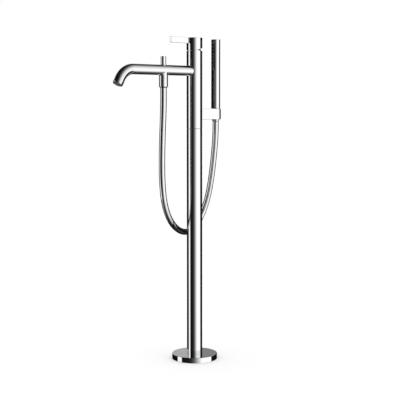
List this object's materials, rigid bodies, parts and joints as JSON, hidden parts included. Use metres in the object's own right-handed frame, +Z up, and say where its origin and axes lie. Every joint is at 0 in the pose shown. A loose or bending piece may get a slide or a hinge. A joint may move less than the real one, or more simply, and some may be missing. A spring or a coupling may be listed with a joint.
{
  "type": "floor standing bath filler",
  "caption": "Slim chrome floor column with a round rosette, a turned-down bath spout, a flat side lever, a pull diverter and a stick hand shower on a smooth hose.",
  "frame": {"origin": "centre of the underside of the floor rosette and flange, on the floor", "axes": "+Z up along the column, -Y towards the spout, +Y towards the hand shower; hot inlet on -X, cold on +X"},
  "size_m": [0.1298, 0.3755, 0.8485],
  "materials": {
    "polished_chrome": "polished chrome plate",
    "dark_seam": "shadowed joint ring",
    "steel": "turned stainless steel",
    "brass": "machined brass",
    "copper": "drawn copper pipe",
    "black_rubber": "soft seal rubber",
    "white_plastic": "moulded acetal",
    "grey_plastic": "fine matt moulding",
    "white_ceramic": "lapped alumina",
    "silver_hose": "metallic silver hose, smooth"
  },
  "bodies": {
    "column": {"floor_flange": "steel", "column_collar": "steel", "collar_screws": "steel", "floor_rosette": "polished_chrome", "rosette_seal": "black_rubber", "hot_inlet_union": "brass", "cold_inlet_union": "brass", "supply_pipes": "copper", "stand_pipe": "polished_chrome", "seam_ring": "dark_seam", "joint_sleeve": "steel", "pipe_spacer": "white_plastic", "mixer_tube": "polished_chrome", "valve_body": "brass", "cartridge_seals": "black_rubber", "cartridge_housing": "white_plastic", "fixed_disc": "white_ceramic", "cartridge_nut": "brass", "dome_ring": "polished_chrome", "spout_tube": "polished_chrome", "spout_nipple": "brass", "spout_o_ring": "black_rubber", "aerator_housing": "polished_chrome", "aerator_insert": "grey_plastic", "aerator_washer": "black_rubber", "diverter_bonnet": "polished_chrome", "diverter_cage": "brass", "diverter_spring": "steel", "hose_outlet": "polished_chrome", "check_valve": "white_plastic", "outlet_washer": "black_rubber", "hose_top_nut": "polished_chrome", "hose_top_ferrule": "steel", "hand_shower_holder": "polished_chrome", "holder_screw": "steel", "holder_liner": "grey_plastic", "shower_hose": "silver_hose"},
    "cartridge_fork": {"turn_carrier": "white_plastic", "pivot_pin": "steel"},
    "sliding_disc": {"moving_disc": "white_ceramic", "disc_driver": "white_plastic"},
    "handle": {"handle_cap": "polished_chrome", "lever_bar": "polished_chrome", "cartridge_stem": "steel", "lever_screw": "steel", "cap_grub_screw": "steel", "access_plug": "polished_chrome"},
    "diverter_pin": {"diverter_knob": "polished_chrome", "diverter_stem": "steel", "diverter_plunger": "brass", "plunger_seal": "black_rubber"},
    "hose_end": {"hose_cone_nut": "polished_chrome", "hose_end_ferrule": "steel", "hose_washer": "black_rubber"},
    "hand_shower": {"hand_shower_tube": "polished_chrome", "spray_strip": "polished_chrome", "spray_chamber": "grey_plastic", "inner_tube": "white_plastic", "thread_insert": "brass", "top_cap": "polished_chrome"}
  },
  "joints": [
    {"name": "temperature_turn", "type": "hinge", "parent": "column", "child": "cartridge_fork", "pos_m": [0, 0, 0.8045], "axis": [0, 0, 1], "range_deg": [-45, 45]},
    {"name": "lever_lift", "type": "hinge", "parent": "cartridge_fork", "child": "handle", "pos_m": [0, 0, 0.8045], "axis": [-1, 0, 0], "range_deg": [0, 20]},
    {"name": "disc_slide", "type": "slide", "parent": "cartridge_fork", "child": "sliding_disc", "axis": [0, -1, 0], "range_m": [0, 0.005]},
    {"name": "diverter_pull", "type": "slide", "parent": "column", "child": "diverter_pin", "axis": [0, 0, 1], "range_m": [0, 0.007], "stiffness_N_per_m": 250, "springref_m": -0.004, "deforming": ["diverter_spring"]},
    {"name": "hand_shower_lift", "type": "slide", "parent": "column", "child": "hose_end", "axis": [0, 0, 1], "range_m": [0, 0.045]},
    {"name": "hand_shower_turn", "type": "hinge", "parent": "hose_end", "child": "hand_shower", "pos_m": [0, 0.0797, 0.6651], "axis": [0, 0, 1], "continuous": true}
  ],
  "couplings": [
    {"joint": "disc_slide", "follows": "lever_lift", "m_per_rad": 0.0143}
  ]
}
